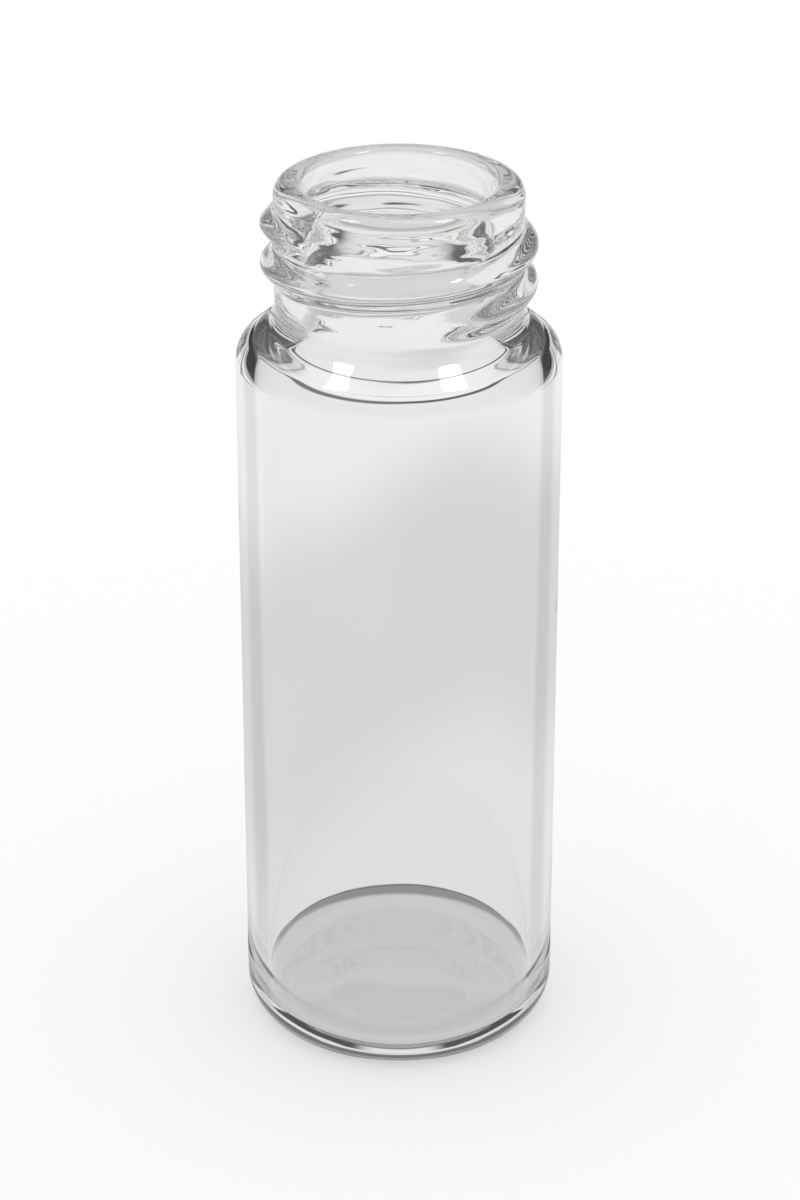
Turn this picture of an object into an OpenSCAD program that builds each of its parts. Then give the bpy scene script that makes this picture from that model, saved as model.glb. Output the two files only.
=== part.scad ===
// Glass sample vial: one piece of clear tubing glass, open at the top, with a screw thread on its neck.
// Millimetres, +Z up, with the origin at the centre of the base.

/* [Body] */
// Outside diameter of the body
body_d = 15; // [12:0.1:30]
// Height from the base to the rim
height = 42.5; // [25:0.5:90]
// Thickness of the side
wall = 1.1; // [0.8:0.05:1.8]
// Thickness of the floor
floor_t = 1.3; // [0.8:0.05:3]
// Rounding of the heel where it meets the base
heel_r = 0.9; // [0.3:0.1:2]
// Softer rounding of the heel where it meets the side
heel_top_r = 2; // [1:0.1:4]
// Angle that the softer rounding turns through
heel_top_angle = 45; // [10:1:80]
// Rounding between the floor and the side, inside
corner_r = 1; // [0.3:0.1:3]
// Depth of the shallow hollow under the base
kick = 0.05; // [0.05:0.05:0.8]
// Width of the ring that the vial stands on
foot_w = 3; // [0.5:0.1:4.5]

/* [Shoulder] */
// Steepness of the shoulder outside, in degrees above level
shoulder_angle = 40; // [25:1:60]
// Steepness of the shoulder inside, in degrees above level
inner_angle = 25; // [15:1:60]
// Thickness of the glass in the middle of the shoulder
shoulder_wall = 1.35; // [0.8:0.05:2]
// Rounding from the side into the shoulder, outside
shoulder_r = 1.4; // [0.4:0.1:4]
// Rounding from the side into the shoulder, inside
inner_shoulder_r = 0.8; // [0.4:0.1:4]
// Rounding from the shoulder into the neck, outside
neck_fillet_r = 1.2; // [0.4:0.1:3]
// Rounding from the shoulder into the neck, inside
inner_fillet_r = 1.6; // [0.4:0.1:3]

/* [Neck] */
// Outside diameter of the neck, at the root of the thread
neck_d = 11.36; // [9.4:0.01:14]
// Thickness of the neck
neck_wall = 1.34; // [0.9:0.02:2]
// Height of the straight neck, from the top of the shoulder to the rim
neck_h = 5.8; // [4:0.1:15]
// Rounding of the rim, outside
rim_r = 0.7; // [0.2:0.05:1.2]
// Rounding of the rim, inside
rim_inner_r = 0.4; // [0.1:0.05:1]

/* [Thread] */
// Height of the thread over the neck
thread_h = 0.65; // [0.3:0.05:1.2]
// Width of the thread at its foot
thread_w = 2.06; // [1:0.02:3]
// Rise of the thread in one turn
pitch = 1.8; // [1.2:0.05:4]
// Drop from the rim to the middle of the thread's upper end
thread_drop = 1.85; // [1.2:0.05:4]
// Rise from the top of the shoulder to the middle of the thread's lower end
thread_lift = 0.65; // [0.2:0.05:3]
// Side that the thread's upper end is on, in degrees from +X
thread_end_side = 219; // [0:1:360]
// Angle over which each end of the thread fades out
fade_angle = 40; // [15:1:90]

/* [Hidden] */

round_fn = 96;
arc_steps = 10;
dish_steps = 6;
turn_steps = 60;
across_steps = 10;
// How far the thread's foot lies under the neck's surface, at its edges and at its back.
edge_sink = 0.06;
back_sink = 0.4;
// Share of a width that its two roundings may fill.
round_share = 0.85;

body_r = body_d / 2;
inner_r = body_r - wall;
neck_r = neck_d / 2;
bore_r = neck_r - neck_wall;

heel_z = heel_r + (heel_top_r - heel_r) * sin(heel_top_angle);
foot_r = body_r - heel_top_r + (heel_top_r - heel_r) * cos(heel_top_angle);
kick_r = foot_r - foot_w;

// A slanted line holds every point p where p * normal is the same; that product is what "line" stands for.
slope_normal = [sin(shoulder_angle), cos(shoulder_angle)];
inner_normal = [sin(inner_angle), cos(inner_angle)];

rim_share = min(1, round_share * neck_wall / (rim_r + rim_inner_r));
rim_out_r = rim_r * rim_share;
rim_in_r = rim_inner_r * rim_share;

out_ease = (shoulder_r + neck_fillet_r) * (1 - slope_normal.x);
out_share = min(1, round_share * (body_r - neck_r) / out_ease);
side_out_r = shoulder_r * out_share;
neck_out_r = neck_fillet_r * out_share;
in_ease = (inner_shoulder_r + inner_fillet_r) * (1 - inner_normal.x);
in_share = min(1, round_share * (inner_r - bore_r) / in_ease);
side_in_r = inner_shoulder_r * in_share;
neck_in_r = inner_fillet_r * in_share;

function level_on_line(x, line, normal) = (line - x * normal.x) / normal.y;

neck_z = height - neck_h;
outer_line = [neck_r + neck_out_r, neck_z] * slope_normal - neck_out_r;
side_z = level_on_line(body_r - side_out_r, outer_line - side_out_r, slope_normal);

middle_r = (body_r + neck_r) / 2;
middle_z = level_on_line(middle_r, outer_line, slope_normal);
inner_line = ([middle_r, middle_z] - shoulder_wall * slope_normal) * inner_normal;
inner_neck_z = level_on_line(bore_r + neck_in_r, inner_line + neck_in_r, inner_normal);
inner_side_z = level_on_line(inner_r - side_in_r, inner_line - side_in_r, inner_normal);

thread_low_z = neck_z + thread_lift;
thread_turn = 360 * (height - thread_drop - thread_low_z) / pitch;
thread_rings = ceil(thread_turn / 360 * turn_steps);
ring_points = across_steps + 3;

function arc(x, z, r, from, to) = [
    for (i = [0:arc_steps])
        let (a = from + (to - from) * i / arc_steps)
            [x + r * cos(a), z + r * sin(a)]
];

// Half of a shallow dome, from its top on the axis to just before its edge.
function dome(z) = [
    for (i = [0:dish_steps - 1])
        let (t = i / dish_steps)
            [kick_r * t, z + kick * (1 - t * t)]
];

function turned_round(points) = [
    for (i = [len(points) - 1:-1:0]) points[i]
];

// From the middle of the base, up the outside, to the rim.
function outer_path() = concat(
    dome(0),
    [[kick_r, 0]],
    arc(foot_r, heel_r, heel_r, -90, -heel_top_angle),
    arc(body_r - heel_top_r, heel_z, heel_top_r, -heel_top_angle, 0),
    arc(body_r - side_out_r, side_z, side_out_r, 0, 90 - shoulder_angle),
    arc(neck_r + neck_out_r, neck_z, neck_out_r, 270 - shoulder_angle, 180),
    arc(neck_r - rim_out_r, height - rim_out_r, rim_out_r, 0, 90)
);

// From the rim, down the inside, to the middle of the floor.
function inner_path() = concat(
    arc(bore_r + rim_in_r, height - rim_in_r, rim_in_r, 90, 180),
    arc(bore_r + neck_in_r, inner_neck_z, neck_in_r, 180, 270 - inner_angle),
    arc(inner_r - side_in_r, inner_side_z, side_in_r, 90 - inner_angle, 0),
    arc(inner_r - corner_r, floor_t + corner_r, corner_r, 0, -90),
    turned_round(concat(dome(floor_t), [[kick_r, floor_t]]))
);

function smooth_step(t) =
    let (s = min(max(t, 0), 1))
        s * s * (3 - 2 * s);

// How much of its full height the thread has, at turn angle a and at c from -1 to 1 across it.
function swell(a, c) =
    0.5 * (1 + cos(180 * c))
        * smooth_step(a / fade_angle)
        * smooth_step((thread_turn - a) / fade_angle);

function thread_point(a, c, r) =
    let (side = thread_end_side - thread_turn + a)
        [
            r * cos(side),
            r * sin(side),
            thread_low_z + pitch * a / 360 + c * thread_w / 2
        ];

function thread_ring(a) = concat(
    [
        for (j = [0:across_steps])
            let (c = 2 * j / across_steps - 1)
                thread_point(a, c, neck_r - edge_sink + (thread_h + edge_sink) * swell(a, c))
    ],
    [
        thread_point(a, 1, neck_r - back_sink),
        thread_point(a, -1, neck_r - back_sink)
    ]
);

// The two triangles between points j and j + 1 of ring i and those of the next ring.
function patch(i, j) =
    let (low = i * ring_points)
    let (high = low + ring_points)
    let (k = (j + 1) % ring_points)
        [
            [low + j, low + k, high + k],
            [low + j, high + k, high + j]
        ];

module thread() {
    rings = [
        for (i = [0:thread_rings])
            each thread_ring(thread_turn * i / thread_rings)
    ];
    sides = [
        for (i = [0:thread_rings - 1])
            for (j = [0:ring_points - 1])
                each patch(i, j)
    ];
    first_end = [for (j = [ring_points - 1:-1:0]) j];
    last_end = [for (j = [0:ring_points - 1]) thread_rings * ring_points + j];
    polyhedron(points = rings, faces = concat(sides, [first_end, last_end]));
}

module vial() {
    color([0.86, 0.91, 0.92, 0.4])
    union() {
        rotate_extrude($fn = round_fn)
            polygon(concat(outer_path(), inner_path()));
        thread();
    }
}

vial();
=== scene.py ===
"""Looks of a clear glass sample vial with an open screw-thread neck.

The vial is drawn as half an outline, turned about its axis, and its thread is then drawn out of the neck.
Lengths are in millimetres and angles in degrees, until they reach Blender in metres and radians.
"""

import logging
import math
from dataclasses import dataclass, field
from enum import Enum

import bmesh
import bpy
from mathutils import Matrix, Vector


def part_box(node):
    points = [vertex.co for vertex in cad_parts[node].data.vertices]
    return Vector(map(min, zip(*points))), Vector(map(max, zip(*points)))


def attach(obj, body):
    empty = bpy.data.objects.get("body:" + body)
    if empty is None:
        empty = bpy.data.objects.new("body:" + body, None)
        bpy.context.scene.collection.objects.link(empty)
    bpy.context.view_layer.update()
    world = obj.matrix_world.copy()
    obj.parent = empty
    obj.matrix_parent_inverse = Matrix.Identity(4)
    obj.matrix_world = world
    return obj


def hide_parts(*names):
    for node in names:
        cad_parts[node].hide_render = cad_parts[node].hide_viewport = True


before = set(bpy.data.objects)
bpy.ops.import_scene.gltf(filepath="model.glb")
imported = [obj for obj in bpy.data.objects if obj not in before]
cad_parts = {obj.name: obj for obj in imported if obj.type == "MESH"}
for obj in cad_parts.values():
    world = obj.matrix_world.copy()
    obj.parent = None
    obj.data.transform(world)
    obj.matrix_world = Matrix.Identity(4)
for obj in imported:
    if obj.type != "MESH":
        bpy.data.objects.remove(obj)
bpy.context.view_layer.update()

log = logging.getLogger("vial")

MM = 0.001
FULL_TURN = 360.0
QUARTER_TURN = 90.0
WHITE = (1.0, 1.0, 1.0, 1.0)

# Points of the outline that lie nearer than this are one point.
MERGE_GAP = 0.002

# How far off a surface a point may lie and still count as on it.
SLACK = 0.01

# A ray's depth is a whole count, so a depth under this is none.
UNDER_ONE = 0.5

Point = tuple[float, float]
Grey = float
Socket = bpy.types.NodeSocket


class Ray(Enum):
    """The kinds of light ray that a surface or the surroundings can answer in their own way."""

    SEEN_DIRECTLY = "Is Camera Ray"
    MIRRORED = "Is Glossy Ray"
    THROUGH_GLASS = "Is Transmission Ray"


class Slot(Enum):
    """The material slots that the part's record names."""

    GLASS = "glass"


@dataclass(frozen=True)
class Band:
    """A stretch of one level, from start to end, in the unit of the value that the level depends on."""

    level: Grey
    start: float = -math.inf
    end: float = math.inf


def deselect_all() -> None:
    """Leaves object mode with nothing selected."""
    if bpy.context.object and bpy.context.object.mode != "OBJECT":
        bpy.ops.object.mode_set(mode="OBJECT")
    bpy.ops.object.select_all(action="DESELECT")


def smooth_step(t: float) -> float:
    """Rises from 0 at t = 0 to 1 at t = 1 with level ends."""
    s = min(max(t, 0.0), 1.0)
    return s * s * (3 - 2 * s)


def soft_higher(a: float, b: float, blend: float) -> float:
    """The higher of two heights, with the valley between them rounded.

    Args:
        a: The first height.
        b: The second height.
        blend: How close the two must be before the rounding starts.

    Returns:
        The higher height, raised by up to a quarter of blend where the two are equal.
    """
    gap = max(blend - abs(a - b), 0.0) / blend
    return max(a, b) + gap * gap * blend / 4


def slope_normal(degrees: float) -> Vector:
    """The upward unit normal of a slope that falls outwards by an angle, as radius and level."""
    return Vector((math.sin(math.radians(degrees)), math.cos(math.radians(degrees))))


class Lathe:
    """Draws half an outline in the XZ plane, point after point, and turns it about the Z axis."""

    def __init__(self, name: str, start: Point) -> None:
        """Starts the outline.

        Args:
            name: The name of the piece.
            start: The outline's first point, as radius and level.
        """
        deselect_all()
        bpy.ops.mesh.primitive_plane_add(size=MM, location=(0, 0, 0))
        self.piece = bpy.context.object
        self.piece.name = name
        self.piece.data.name = name
        self.end = start
        bpy.ops.object.mode_set(mode="EDIT")
        bpy.ops.mesh.select_all(action="SELECT")
        bpy.ops.mesh.merge(type="CENTER")
        bpy.ops.transform.translate(value=(start[0] * MM, 0, start[1] * MM))

    def line_to(self, x: float, z: float, parts: int = 1) -> None:
        """Draws a straight stretch.

        Args:
            x: Radius at the stretch's end.
            z: Level at the stretch's end.
            parts: How many equal parts the stretch has.
        """
        step = ((x - self.end[0]) / parts * MM, 0, (z - self.end[1]) / parts * MM)
        for _ in range(parts):
            bpy.ops.mesh.extrude_vertices_move(TRANSFORM_OT_translate={"value": step})
        self.end = (x, z)

    def round_about(self, x: float, z: float, degrees: float, parts: int) -> None:
        """Draws a round stretch from the end reached so far.

        Args:
            x: Radius of the round's centre.
            z: Level of the round's centre.
            degrees: How far it turns, positive from +X towards +Z.
            parts: How many parts the stretch has.
        """
        turn = math.radians(degrees)
        bpy.ops.mesh.spin(
            steps=parts,
            angle=turn,
            center=(x * MM, 0, z * MM),
            axis=(0, 1, 0),
            use_auto_merge=False,
        )
        dx, dz = self.end[0] - x, self.end[1] - z
        self.end = (
            x + dx * math.cos(turn) - dz * math.sin(turn),
            z + dx * math.sin(turn) + dz * math.cos(turn),
        )

    def turn(self, steps: int) -> bpy.types.Object:
        """Turns the outline once round and closes the seam and the poles.

        Args:
            steps: How many steps the turn has.

        Returns:
            The finished piece, smooth all over, in object mode.
        """
        bpy.ops.mesh.select_all(action="SELECT")
        bpy.ops.mesh.spin(steps=steps, angle=math.tau, center=(0, 0, 0), axis=(0, 0, 1))
        bpy.ops.mesh.select_all(action="SELECT")
        bpy.ops.mesh.remove_doubles(threshold=MERGE_GAP * MM)
        bpy.ops.mesh.normals_make_consistent(inside=False)
        bpy.ops.object.mode_set(mode="OBJECT")
        bpy.ops.object.shade_smooth()
        return self.piece


class Board:
    """A node tree while it is being wired."""

    def __init__(self, tree: bpy.types.NodeTree) -> None:
        """Empties the tree."""
        self.tree = tree
        tree.nodes.clear()

    def add(self, kind: str, **inputs: object) -> bpy.types.Node:
        """Adds a node.

        Args:
            kind: The node's type, without its ShaderNode prefix.
            **inputs: Values or sockets for its inputs, with underscores for the spaces in their names.

        Returns:
            The node.
        """
        node = self.tree.nodes.new("ShaderNode" + kind)
        for name, value in inputs.items():
            self.feed(node.inputs[name.replace("_", " ")], value)
        return node

    def feed(self, socket: Socket, value: object) -> None:
        """Links a socket to another one, or sets it to a plain value.

        Args:
            socket: The input that is fed.
            value: The output to link it to, or the value to set it to.
        """
        if isinstance(value, Socket):
            self.tree.links.new(value, socket)
        else:
            socket.default_value = value

    def math(self, operation: str, *values: object) -> Socket:
        """Adds a Math node.

        Args:
            operation: The node's operation.
            *values: Numbers or sockets, in the order of its inputs.

        Returns:
            The result's socket.
        """
        node = self.add("Math")
        node.operation = operation
        for socket, value in zip(node.inputs, values):
            self.feed(socket, value)
        return node.outputs[0]

    def level_length(self, x: Socket, y: Socket) -> Socket:
        """The length of a vector's level part, whose sides are x and y."""
        return self.math("SQRT", self.math("MULTIPLY_ADD", x, x, self.math("MULTIPLY", y, y)))

    def ramp(self, value: Socket, low: float, high: float, start: float, end: float) -> Socket:
        """Maps a value to a smooth rise or fall.

        Args:
            value: What is mapped.
            low: Where the change begins.
            high: Where the change ends.
            start: The result up to low.
            end: The result from high on.

        Returns:
            The result's socket.
        """
        node = self.add("MapRange", From_Min=low, From_Max=high, To_Min=start, To_Max=end)
        node.interpolation_type = "SMOOTHSTEP"
        self.feed(node.inputs["Value"], value)
        return node.outputs["Result"]

    def profile(self, value: Socket, *bands: Band) -> Socket:
        """Maps a value to a level that goes smoothly from band to band.

        Args:
            value: What is mapped.
            *bands: The bands, in rising order. The first and the last hold beyond the ends.

        Returns:
            The level's socket.
        """
        level = bands[0].level
        for band, following in zip(bands, bands[1:]):
            change = self.ramp(value, band.end, following.start, 0.0, following.level - band.level)
            level = self.math("ADD", level, change)
        return level

    def glass_ray(self) -> Socket:
        """Wires a mask for the rays that reach a place through or off the glass alone.

        Returns:
            1 for a ray that left the glass before it met anything matt, else 0.
        """
        path = self.add("LightPath").outputs
        clear = self.math("MAXIMUM", path[Ray.THROUGH_GLASS.value], path[Ray.MIRRORED.value])
        unscattered = self.math("LESS_THAN", path["Diffuse Depth"], UNDER_ONE)
        return self.math("MULTIPLY", clear, unscattered)


@dataclass(frozen=True)
class Ripple:
    """Unevenness that forming leaves in glass: long soft waves all over, and fine rings round the neck."""

    wave_mm: float = 3.2
    wave_share: float = 0.14
    ring_mm: float = 3.0
    ring_stretch: float = 5.0
    rings_from: float = 35.5
    rings_full: float = 37.5
    detail: float = 1.0

    def group(self) -> bpy.types.ShaderNodeTree:
        """Builds the node group.

        Returns:
            The group, which turns a place on the glass into the height of its surface, from 0 to 1.
        """
        tree = bpy.data.node_groups.new("glass ripple", "ShaderNodeTree")
        tree.interface.new_socket("Place", in_out="INPUT", socket_type="NodeSocketVector")
        tree.interface.new_socket("Height", in_out="OUTPUT", socket_type="NodeSocketFloat")
        board = Board(tree)
        place = tree.nodes.new("NodeGroupInput").outputs["Place"]
        waves = board.add("TexNoise", Vector=place, Scale=1 / (self.wave_mm * MM), Detail=self.detail)
        stretched = board.add("Mapping", Vector=place, Scale=(1, 1, self.ring_stretch)).outputs["Vector"]
        rings = board.add("TexNoise", Vector=stretched, Scale=1 / (self.ring_mm * MM), Detail=self.detail)
        z = board.add("SeparateXYZ", Vector=place).outputs["Z"]
        on_neck = board.ramp(z, self.rings_from * MM, self.rings_full * MM, 0.0, 1 - self.wave_share)
        ringed = board.math("MULTIPLY", rings.outputs["Fac"], on_neck)
        height = board.math("MULTIPLY_ADD", waves.outputs["Fac"], self.wave_share, ringed)
        board.feed(tree.nodes.new("NodeGroupOutput").inputs["Height"], height)
        return tree


@dataclass(frozen=True)
class GlassFinishAndPaintedShade:
    """Clear, colourless tubing glass with a fire-polished surface.

    The body's outside has painted shade in its colour: it is darker where it is seen on a slant, which
    paints dark bands down the sides of the tube.
    The bands are for how far the glass turns away from the eye, from 0 face on to 1 edge on.
    """

    colour: tuple[float, float, float] = (0.988, 0.988, 0.979)
    ior: float = 1.5
    roughness: float = 0.0
    ripple_mm: float = 0.055
    # Share of the colour that is left where the painted shade is darkest.
    darkest_painted_shade: float = 0.7
    face_on: Band = Band(0.0, end=0.53)
    slanting: Band = Band(1.0, 0.59, 0.68)
    edge_on: Band = Band(0.0, start=0.75)
    outside_from: float = 6.9
    outside_full: float = 7.1
    ripple: Ripple = field(default_factory=Ripple)

    def outside(self, board: Board, place: Socket) -> Socket:
        """Wires a mask for the outside of the body, which alone gets the painted shade.

        Args:
            board: The material's node tree.
            place: The place on the glass, in object coordinates.

        Returns:
            1 on the body's outside, 0 on the inside and on the neck.
        """
        x, y, _ = board.add("SeparateXYZ", Vector=place).outputs
        return board.ramp(
            board.level_length(x, y), self.outside_from * MM, self.outside_full * MM, 0.0, 1.0
        )

    def colour_with_painted_shade(self, board: Board, place: Socket) -> Socket:
        """Wires the glass's colour, with painted shade darkening the sides of the body.

        Args:
            board: The material's node tree.
            place: The place on the glass, in object coordinates.

        Returns:
            The colour's socket.
        """
        facing = board.add("LayerWeight").outputs["Facing"]
        # Painted shade: the colour is painted darker by the slant, on the body's outside only.
        slant = board.profile(facing, self.face_on, self.slanting, self.edge_on)
        painted_shade_mask = board.math("MULTIPLY", slant, self.outside(board, place))
        colour_with_painted_shade = board.add("VectorMath")
        colour_with_painted_shade.operation = "SCALE"
        board.feed(colour_with_painted_shade.inputs[0], self.colour)
        board.feed(colour_with_painted_shade.inputs["Scale"], board.math("MULTIPLY_ADD", painted_shade_mask, self.darkest_painted_shade - 1, 1.0))
        return colour_with_painted_shade.outputs["Vector"]

    def material(self) -> bpy.types.Material:
        """Builds the material.

        Returns:
            The glass, with its ripple as bump and painted shade in its colour.
        """
        glass = bpy.data.materials.new("clear glass with painted shade")
        glass.use_nodes = True
        board = Board(glass.node_tree)
        place = board.add("TexCoord").outputs["Object"]
        ripple = board.add("Group")
        ripple.node_tree = self.ripple.group()
        board.feed(ripple.inputs["Place"], place)
        bump = board.add("Bump", Distance=self.ripple_mm * MM, Height=ripple.outputs["Height"])
        shader = board.add(
            "BsdfPrincipled",
            Base_Color=self.colour_with_painted_shade(board, place),
            Roughness=self.roughness,
            IOR=self.ior,
            Transmission_Weight=1.0,
            Normal=bump.outputs["Normal"],
        )
        board.add("OutputMaterial", Surface=shader.outputs["BSDF"])
        return glass


@dataclass
class Thread:
    """A right-hand single-start thread that swells out of the neck and fades at both ends."""

    height: float = 0.65
    width: float = 2.06
    pitch: float = 1.8
    drop: float = 1.85
    lift: float = 0.65
    end_side: float = 219.0
    fade: float = 40.0

    def swell(self, side: float, level: float, low: float, high: float) -> float:
        """Works out how far the thread stands out at a place on the neck.

        Args:
            side: Direction from the axis, in degrees from +X.
            level: The place's level.
            low: Level of the middle of the thread's lower end.
            high: Level of the middle of its upper end.

        Returns:
            The height over the neck, in millimetres.
        """
        whole = FULL_TURN * (high - low) / self.pitch
        angle = (side - self.end_side + whole) % FULL_TURN
        most = 0.0
        while angle <= whole:
            across = (level - low - self.pitch * angle / FULL_TURN) / (self.width / 2)
            if abs(across) < 1:
                faded = smooth_step(angle / self.fade) * smooth_step((whole - angle) / self.fade)
                most = max(most, (1 + math.cos(math.pi * across)) / 2 * faded)
            angle += FULL_TURN
        return self.height * most


@dataclass
class Vial:
    """The vial: body, base, shoulder, neck, rim and thread, formed from one length of tube."""

    body_r: float
    height: float
    wall: float = 1.1
    floor_t: float = 1.3
    heel_r: float = 0.9
    heel_top_r: float = 2.0
    heel_top_angle: float = 45.0
    corner_r: float = 1.0
    kick: float = 0.05
    floor_rise: float = 0.05
    floor_lean: float = 0.5
    lean_reach: float = 4.0
    foot_w: float = 3.0
    shoulder_angle: float = 40.0
    inner_angle: float = 25.0
    shoulder_wall: float = 1.35
    shoulder_r: float = 1.4
    inner_shoulder_r: float = 0.8
    neck_fillet_r: float = 1.2
    inner_fillet_r: float = 1.6
    neck_r: float = 5.68
    neck_wall: float = 1.34
    neck_h: float = 5.8
    rim_r: float = 0.7
    rim_inner_r: float = 0.4
    thread: Thread = field(default_factory=Thread)
    thread_blend: float = 0.12
    sides: int = 256
    round_parts: int = 16
    side_parts: int = 24
    neck_parts: int = 110
    flat_parts: int = 6
    slope_parts: int = 4

    @classmethod
    def from_frame(cls) -> "Vial":
        """Takes the body's radius and the height from the CAD part."""
        _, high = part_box("vial")
        return cls(body_r=high.x / MM, height=high.z / MM)

    @property
    def neck_z(self) -> float:
        """Level of the neck's foot."""
        return self.height - self.neck_h

    @property
    def bore_r(self) -> float:
        """Radius of the neck's bore."""
        return self.neck_r - self.neck_wall

    @property
    def inner_r(self) -> float:
        """Radius of the inside of the body."""
        return self.body_r - self.wall

    @property
    def heel_z(self) -> float:
        """Level where the straight side ends and the heel begins."""
        rise = math.sin(math.radians(self.heel_top_angle))
        return self.heel_top_r * rise + self.heel_r * (1 - rise)

    @property
    def foot_r(self) -> float:
        """Outer radius of the ring that the vial stands on."""
        lean = math.cos(math.radians(self.heel_top_angle))
        return self.body_r - self.heel_top_r * (1 - lean) - self.heel_r * lean

    @property
    def kick_r(self) -> float:
        """Radius of the shallow hollow under the base."""
        return self.foot_r - self.foot_w

    def slope_levels(self) -> tuple[float, float, float]:
        """Works out where the shoulder's slopes meet their roundings.

        Returns:
            Levels of three roundings' centres: the outer side's, the inner neck's and the inner side's.
        """
        outer = slope_normal(self.shoulder_angle)
        inner = slope_normal(self.inner_angle)

        def level(x: float, line: float, normal: Vector) -> float:
            """Level at radius x on the slanted line where place.dot(normal) equals line."""
            return (line - x * normal.x) / normal.y

        outer_line = Vector((self.neck_r + self.neck_fillet_r, self.neck_z)).dot(outer) - self.neck_fillet_r
        middle_r = (self.body_r + self.neck_r) / 2
        middle = Vector((middle_r, level(middle_r, outer_line, outer))) - self.shoulder_wall * outer
        inner_line = middle.dot(inner)
        return (
            level(self.body_r - self.shoulder_r, outer_line - self.shoulder_r, outer),
            level(self.bore_r + self.inner_fillet_r, inner_line + self.inner_fillet_r, inner),
            level(self.inner_r - self.inner_shoulder_r, inner_line - self.inner_shoulder_r, inner),
        )

    def draw_dome(self, lathe: Lathe, level: float, rise: float, outwards: bool) -> None:
        """Draws the shallow dome of the base or of the floor inside.

        Args:
            lathe: The lathe that holds the outline.
            level: Level of the dome's edge.
            rise: Height of the dome's middle over its edge.
            outwards: True from the axis to the edge, False back to the axis.
        """
        parts = self.round_parts
        for i in range(1, parts + 1):
            t = i / parts if outwards else 1 - i / parts
            lathe.line_to(self.kick_r * t, level + rise * (1 - t * t))

    def draw_outside(self, lathe: Lathe, side_z: float) -> None:
        """Draws the outline from the middle of the base, up the outside, to the rim.

        Args:
            lathe: The lathe that holds the outline.
            side_z: Level of the centre of the rounding between the side and the shoulder.
        """
        self.draw_dome(lathe, 0, self.kick, outwards=True)
        lathe.line_to(self.foot_r, 0, self.flat_parts)
        lathe.round_about(self.foot_r, self.heel_r, QUARTER_TURN - self.heel_top_angle, self.round_parts)
        lathe.round_about(self.body_r - self.heel_top_r, self.heel_z, self.heel_top_angle, self.round_parts)
        lathe.line_to(self.body_r, side_z, self.side_parts)
        turn = QUARTER_TURN - self.shoulder_angle
        lathe.round_about(self.body_r - self.shoulder_r, side_z, turn, self.round_parts)
        fillet_x = self.neck_r + self.neck_fillet_r
        steep = math.radians(self.shoulder_angle)
        lathe.line_to(
            fillet_x - self.neck_fillet_r * math.sin(steep),
            self.neck_z - self.neck_fillet_r * math.cos(steep),
            self.slope_parts,
        )
        lathe.round_about(fillet_x, self.neck_z, -turn, self.round_parts)
        rim_z = self.height - self.rim_r
        lathe.line_to(self.neck_r, rim_z, self.neck_parts)
        lathe.round_about(self.neck_r - self.rim_r, rim_z, QUARTER_TURN, self.round_parts)

    def draw_inside(self, lathe: Lathe, neck_z: float, side_z: float) -> None:
        """Draws the outline from the rim, down the inside, to the middle of the floor.

        Args:
            lathe: The lathe that holds the outline.
            neck_z: Level of the centre of the rounding between the bore and the shoulder.
            side_z: Level of the centre of the rounding between the shoulder and the side.
        """
        rim_x = self.bore_r + self.rim_inner_r
        lathe.line_to(rim_x, self.height)
        lathe.round_about(rim_x, self.height - self.rim_inner_r, QUARTER_TURN, self.round_parts)
        lathe.line_to(self.bore_r, neck_z, self.side_parts)
        turn = QUARTER_TURN - self.inner_angle
        lathe.round_about(self.bore_r + self.inner_fillet_r, neck_z, turn, self.round_parts)
        shoulder_x = self.inner_r - self.inner_shoulder_r
        steep = math.radians(self.inner_angle)
        lathe.line_to(
            shoulder_x + self.inner_shoulder_r * math.sin(steep),
            side_z + self.inner_shoulder_r * math.cos(steep),
            self.slope_parts,
        )
        lathe.round_about(shoulder_x, side_z, -turn, self.round_parts)
        corner_z = self.floor_t + self.corner_r
        lathe.line_to(self.inner_r, corner_z, self.side_parts)
        lathe.round_about(self.inner_r - self.corner_r, corner_z, -QUARTER_TURN, self.round_parts)
        lathe.line_to(self.kick_r, self.floor_t, self.flat_parts)
        self.draw_dome(lathe, self.floor_t, self.floor_rise, outwards=False)

    def draw_out_thread(self, piece: bpy.types.Object) -> None:
        """Moves the outside of the neck out to the thread's surface.

        Args:
            piece: The turned vial, in object mode.
        """
        low = self.neck_z + self.thread.lift
        high = self.height - self.thread.drop
        reach = self.thread.width / 2
        mesh = bmesh.new()
        mesh.from_mesh(piece.data)
        for vertex in mesh.verts:
            x, y, z = (c / MM for c in vertex.co)
            radius = math.hypot(x, y)
            on_neck = self.neck_r - SLACK <= radius <= self.neck_r + self.neck_fillet_r
            if not (on_neck and low - reach < z < high + reach):
                continue
            swell = self.thread.swell(math.degrees(math.atan2(y, x)), z, low, high)
            if swell > 0:
                fillet = radius - self.neck_r
                raised = self.neck_r + soft_higher(fillet, swell, self.thread_blend) - self.thread_blend / 4
                grow = max(raised, radius) / radius
                vertex.co.x *= grow
                vertex.co.y *= grow
        mesh.to_mesh(piece.data)
        mesh.free()

    def lean_floor(self, piece: bpy.types.Object) -> None:
        """Leans the floor inside a little, as a hot base settles, higher at the back than in front.

        Args:
            piece: The turned vial, in object mode.
        """
        lean_top = self.floor_t + self.corner_r + self.lean_reach
        mesh = bmesh.new()
        mesh.from_mesh(piece.data)
        for vertex in mesh.verts:
            x, y, z = (c / MM for c in vertex.co)
            if z > self.floor_t - SLACK and math.hypot(x, y) < self.inner_r + SLACK:
                share = smooth_step((lean_top - z) / self.lean_reach)
                vertex.co.z += self.floor_lean * MM * share * y / self.inner_r
        mesh.to_mesh(piece.data)
        mesh.free()

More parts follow.
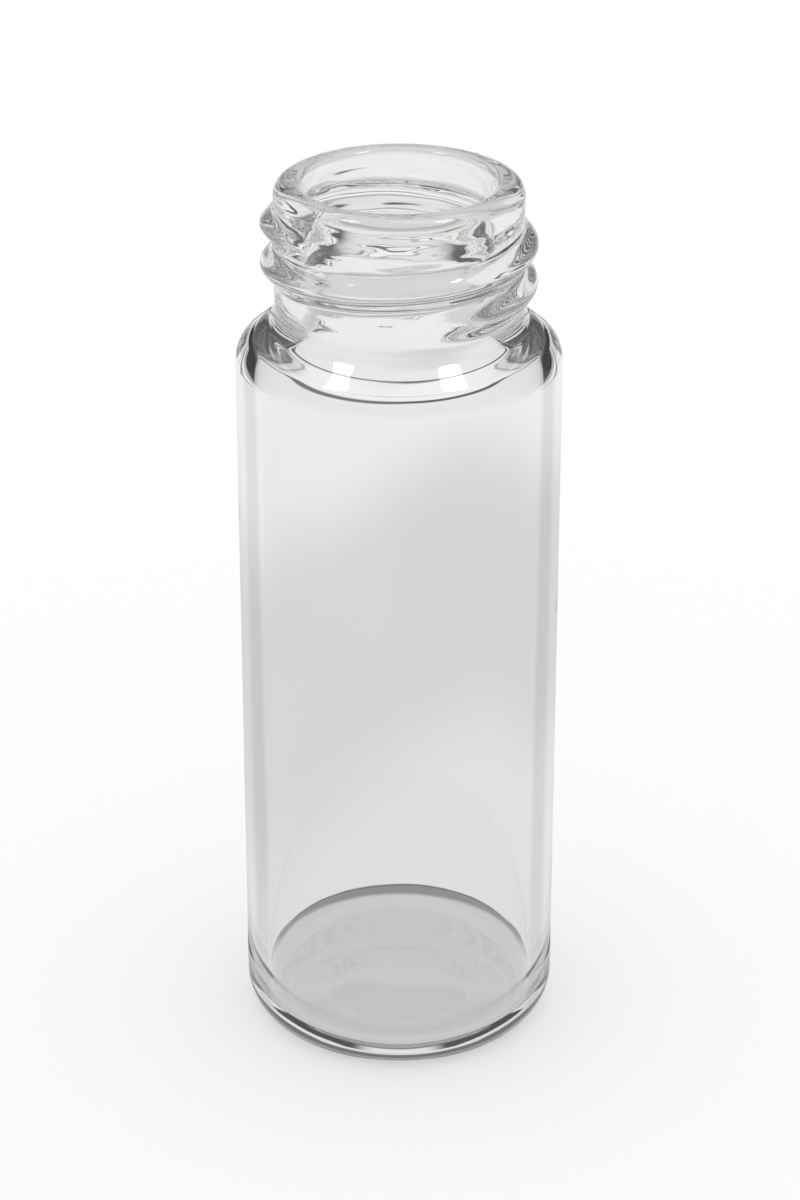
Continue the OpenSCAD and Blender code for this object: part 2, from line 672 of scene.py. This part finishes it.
    def build(self) -> bpy.types.Object:
        """Builds the vial's mesh.

        Returns:
            The vial, at its place in the frame.
        """
        side_z, inner_neck_z, inner_side_z = self.slope_levels()
        lathe = Lathe("vial_glass", (0, self.kick))
        self.draw_outside(lathe, side_z)
        self.draw_inside(lathe, inner_neck_z, inner_side_z)
        piece = lathe.turn(self.sides)
        self.draw_out_thread(piece)
        self.lean_floor(piece)
        return piece

    def dress(self, piece: bpy.types.Object, finish: GlassFinishAndPaintedShade) -> None:
        """Gives the vial its glass and ties it to the frame.

        Args:
            piece: The finished mesh.
            finish: The glass that it is made of.
        """
        piece.data.materials.append(finish.material())
        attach(piece, "root")
        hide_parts("vial")


@dataclass(frozen=True)
class Softbox:
    """A round soft lamp, far off in one direction."""

    aim: tuple[float, float, float]
    reach_degrees: float = 5.5
    edge_degrees: float = 1.0
    level: Grey = 9.0

    def strength(self, board: Board, direction: Socket) -> Socket:
        """Wires the lamp's light.

        Args:
            board: The world's node tree.
            direction: The direction that is looked in.

        Returns:
            The lamp's level in that direction, 0 outside the lamp.
        """
        nearness = board.add("VectorMath")
        nearness.operation = "DOT_PRODUCT"
        board.feed(nearness.inputs[0], direction)
        board.feed(nearness.inputs[1], tuple(Vector(self.aim).normalized()))
        outer = math.cos(math.radians(self.reach_degrees + self.edge_degrees))
        inner = math.cos(math.radians(self.reach_degrees))
        return board.ramp(nearness.outputs["Value"], outer, inner, 0.0, self.level)


@dataclass(frozen=True)
class Surroundings:
    """What lights the vial, and what is seen in and through its glass.

    Matt surfaces and the camera meet an even white. The glass meets a studio, which gives its edges their
    lines: a lit strip low at the back between two dark flanks, grey sides, a dim wall above them, a
    ceiling, and two lamps that only show as reflections. The wall and the ceiling are bands of degrees
    over the horizon. The others are bands of how far back a direction points, from -1 in front to 1
    straight behind.
    """

    side: Band = Band(0.15, end=0.5)
    flank: Band = Band(0.04, 0.62, 0.975)
    strip: Band = Band(0.8, start=0.996)
    strip_top: float = 10.5
    wall: Band = Band(0.12, 13.5, 47.0)
    ceiling: Band = Band(0.6, start=53.0)
    lamps: tuple[Softbox, ...] = (Softbox((-0.47, -0.1, 0.88)), Softbox((0.41, -0.1, 0.91)))

    def studio(self, board: Board, aim: Socket) -> Socket:
        """Wires the studio without its lamps.

        Args:
            board: The world's node tree.
            aim: The direction that is looked in.

        Returns:
            The studio's level in that direction.
        """
        x, y, z = board.add("SeparateXYZ", Vector=aim).outputs
        backness = board.math("DIVIDE", y, board.level_length(x, y))
        horizon = board.profile(backness, self.side, self.flank, self.strip)
        degrees = board.math("MULTIPLY", board.math("ARCSINE", z), math.degrees(1))
        low = board.ramp(degrees, self.strip_top, self.wall.start, 1.0, 0.0)
        above = board.profile(degrees, Band(0.0, end=self.strip_top), self.wall, self.ceiling)
        return board.math("MULTIPLY_ADD", low, horizon, above)

    def build(self) -> None:
        """Makes the scene's world."""
        world = bpy.data.worlds.new("studio")
        world.use_nodes = True
        bpy.context.scene.world = world
        board = Board(world.node_tree)
        aim = board.add("TexCoord").outputs["Generated"]
        studio = self.studio(board, aim)
        crossings = board.add("LightPath").outputs["Transmission Depth"]
        mirrored = board.math("LESS_THAN", crossings, UNDER_ONE)
        for lamp in self.lamps:
            shown = board.math("MULTIPLY", lamp.strength(board, aim), mirrored)
            studio = board.math("MAXIMUM", studio, shown)
        level = board.add("Mix", Factor=board.glass_ray(), A=1.0, B=studio)
        shade = board.add("Background", Color=WHITE, Strength=level.outputs["Result"])
        board.add("OutputWorld", Surface=shade.outputs["Background"])


@dataclass(frozen=True)
class FloorFinishAndPaintedShadow:
    """A matt floor, pale grey, that looks white to the eye and, through the vial's glass, glows in soft
    rings of painted light and shade.

    The rings are bands of the distance from the vial's axis. Under the vial and in a thin dark edge round
    it they are painted shadow of the vial, and close to the vial one more dark ring of painted shadow lies
    behind it only: beside and behind are how far back a place points where that ring begins and is at its
    full strength. Beyond the near ring the rings are painted shade of the studio, and they slant, so that
    they lie closer on the left than on the right.
    """

    grey: Grey = 0.64
    # Painted shadow of the vial on the floor, as the glass sees it: the levels under it, in the ring behind
    # it and at the edge round it.
    under: Band = Band(0.6, end=8.5)
    ring: Band = Band(0.23, 8.9, 9.6)
    painted_shadow_beside: Band = Band(0.6, end=9.6)
    edge: Band = Band(0.12, 9.8, 10.0)
    near: Band = Band(0.78, 10.3, 18.0)
    # Painted shade of the studio on the floor further out, as the glass sees it.
    middle: Band = Band(0.68, 33.0, 54.0)
    far: Band = Band(0.87, 75.0, 145.0)
    line: Band = Band(0.12, 155.0, 172.0)
    end: Band = Band(0.95, 185.0, 280.0)
    beyond: Band = Band(0.5, start=420.0)
    beside: float = 0.25
    behind: float = 0.55
    slant: float = 7.0
    slant_reach: float = 10.0

    def rings(self, board: Board, place: Socket) -> Socket:
        """Wires the painted light and shade that the glass sees at a place on the floor.

        Args:
            board: The material's node tree.
            place: The place, in object coordinates.

        Returns:
            The level's socket.
        """
        x, y, _ = board.add("SeparateXYZ", Vector=place).outputs
        distance = board.level_length(x, y)
        backness = board.ramp(board.math("DIVIDE", y, distance), self.beside, self.behind, 0.0, 1.0)
        radius = board.math("DIVIDE", distance, MM)
        beside = board.profile(radius, self.painted_shadow_beside, self.edge, self.near)
        behind = board.profile(radius, self.under, self.ring, self.edge, self.near)
        close = board.add("Mix", Factor=backness, A=beside, B=behind).outputs["Result"]
        shift = board.ramp(x, -self.slant_reach * MM, self.slant_reach * MM, self.slant, -self.slant)
        slanted = board.math("ADD", radius, shift)
        outer = board.profile(slanted, self.near, self.middle, self.far, self.line, self.end, self.beyond)
        return board.math("ADD", close, board.math("SUBTRACT", outer, self.near.level))

    def material(self) -> bpy.types.Material:
        """Builds the material.

        Returns:
            The floor's material, with painted light and shade where the glass sees it.
        """
        paint = bpy.data.materials.new("pale floor and painted shadow")
        paint.use_nodes = True
        board = Board(paint.node_tree)
        place = board.add("TexCoord").outputs["Object"]
        seen = board.add("LightPath").outputs[Ray.SEEN_DIRECTLY.value]
        matt = board.add("BsdfDiffuse", Color=(self.grey, self.grey, self.grey, 1))
        lift = board.add("Emission", Color=WHITE, Strength=board.math("MULTIPLY", seen, 1 - self.grey))
        open_air = board.add("AddShader")
        board.feed(open_air.inputs[0], matt.outputs["BSDF"])
        board.feed(open_air.inputs[1], lift.outputs["Emission"])
        # Painted light and shade: through the glass the floor is an emission at the rings' levels, with the
        # vial's painted shadow in it, in place of the lit floor.
        through = board.add("Emission", Color=WHITE, Strength=self.rings(board, place))
        both = board.add("MixShader", Fac=board.glass_ray())
        board.feed(both.inputs[1], open_air.outputs["Shader"])
        board.feed(both.inputs[2], through.outputs["Emission"])
        board.add("OutputMaterial", Surface=both.outputs["Shader"])
        return paint


@dataclass
class Floor:
    """The level pale surface that the vial stands on."""

    reach: float = 6000.0
    gap: float = 0.02
    finish: FloorFinishAndPaintedShadow = field(default_factory=FloorFinishAndPaintedShadow)

    def build(self) -> bpy.types.Object:
        """Builds the floor.

        Returns:
            The floor, just under the vial.
        """
        deselect_all()
        bpy.ops.mesh.primitive_plane_add(size=self.reach * MM, location=(0, 0, -self.gap * MM))
        floor = bpy.context.object
        floor.name = "floor"
        bpy.ops.object.transform_apply(location=True, rotation=True, scale=True)
        floor.data.materials.append(self.finish.material())
        return floor


@dataclass(frozen=True)
class Eye:
    """The camera: in front of the vial and above it, looking down at it."""

    back: float = 149.0
    up: float = 93.3
    right: float = 0.04
    down_degrees: float = 25.7
    lens_mm: float = 104.7
    sensor_mm: float = 36.0

    def build(self) -> None:
        """Makes the scene's camera."""
        data = bpy.data.cameras.new("camera")
        data.lens = self.lens_mm
        data.sensor_width = self.sensor_mm
        data.clip_start = MM
        camera = bpy.data.objects.new("camera", data)
        camera.location = (self.right * MM, -self.back * MM, self.up * MM)
        camera.rotation_euler = (math.radians(QUARTER_TURN - self.down_degrees), 0, 0)
        bpy.context.scene.collection.objects.link(camera)
        bpy.context.scene.camera = camera


def let_light_wander(bounces: int = 96) -> None:
    """Lets a ray be turned back inside the glass as often as it is in thick round edges.

    Args:
        bounces: How many times a ray may be turned before it ends in black.
    """
    cycles = bpy.context.scene.cycles
    cycles.max_bounces = bounces
    cycles.glossy_bounces = bounces
    cycles.transmission_bounces = bounces


def report(piece: bpy.types.Object) -> None:
    """Logs a finished piece."""
    log.info("%s: %d faces", piece.name, len(piece.data.polygons))


def main() -> None:
    """Builds the studio and the vial, in order, and reports each piece."""
    logging.basicConfig(level=logging.INFO, format="%(name)s: %(message)s")
    bpy.context.scene.view_settings.view_transform = "Standard"
    let_light_wander()
    Eye().build()
    Surroundings().build()
    report(Floor().build())
    vial = Vial.from_frame()
    piece = vial.build()
    vial.dress(piece, GlassFinishAndPaintedShade())
    report(piece)


if __name__ == "__main__":
    main()
